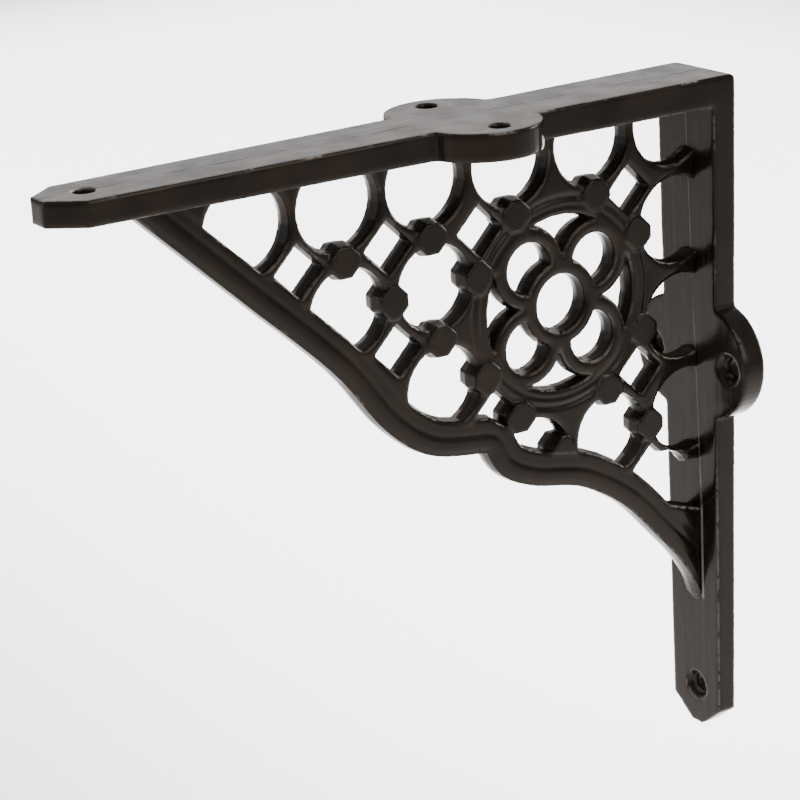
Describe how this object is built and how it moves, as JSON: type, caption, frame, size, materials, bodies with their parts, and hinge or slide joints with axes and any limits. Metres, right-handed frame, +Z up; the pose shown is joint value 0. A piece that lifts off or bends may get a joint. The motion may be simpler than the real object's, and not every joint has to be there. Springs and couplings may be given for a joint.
{
  "type": "ornate cast iron shelf bracket",
  "caption": "Right-angled cast iron shelf bracket: shelf plate and wall plate with round screw lugs, braced by a pierced web with a petal wheel in a lattice.",
  "frame": {"origin": "on the wall face, on the wall plate's centre line, level with the screws of its two lugs", "axes": "+Y into the wall, +Z up towards the shelf, X across the bracket; the arm reaches out towards -Y"},
  "size_m": [0.049, 0.2087, 0.2017],
  "materials": {
    "cast_iron": "black-brown satin paint over a slightly uneven casting, worn brighter on the edges"
  },
  "bodies": {
    "root": {"shelf_bracket": "cast_iron"}
  },
  "joints": []
}
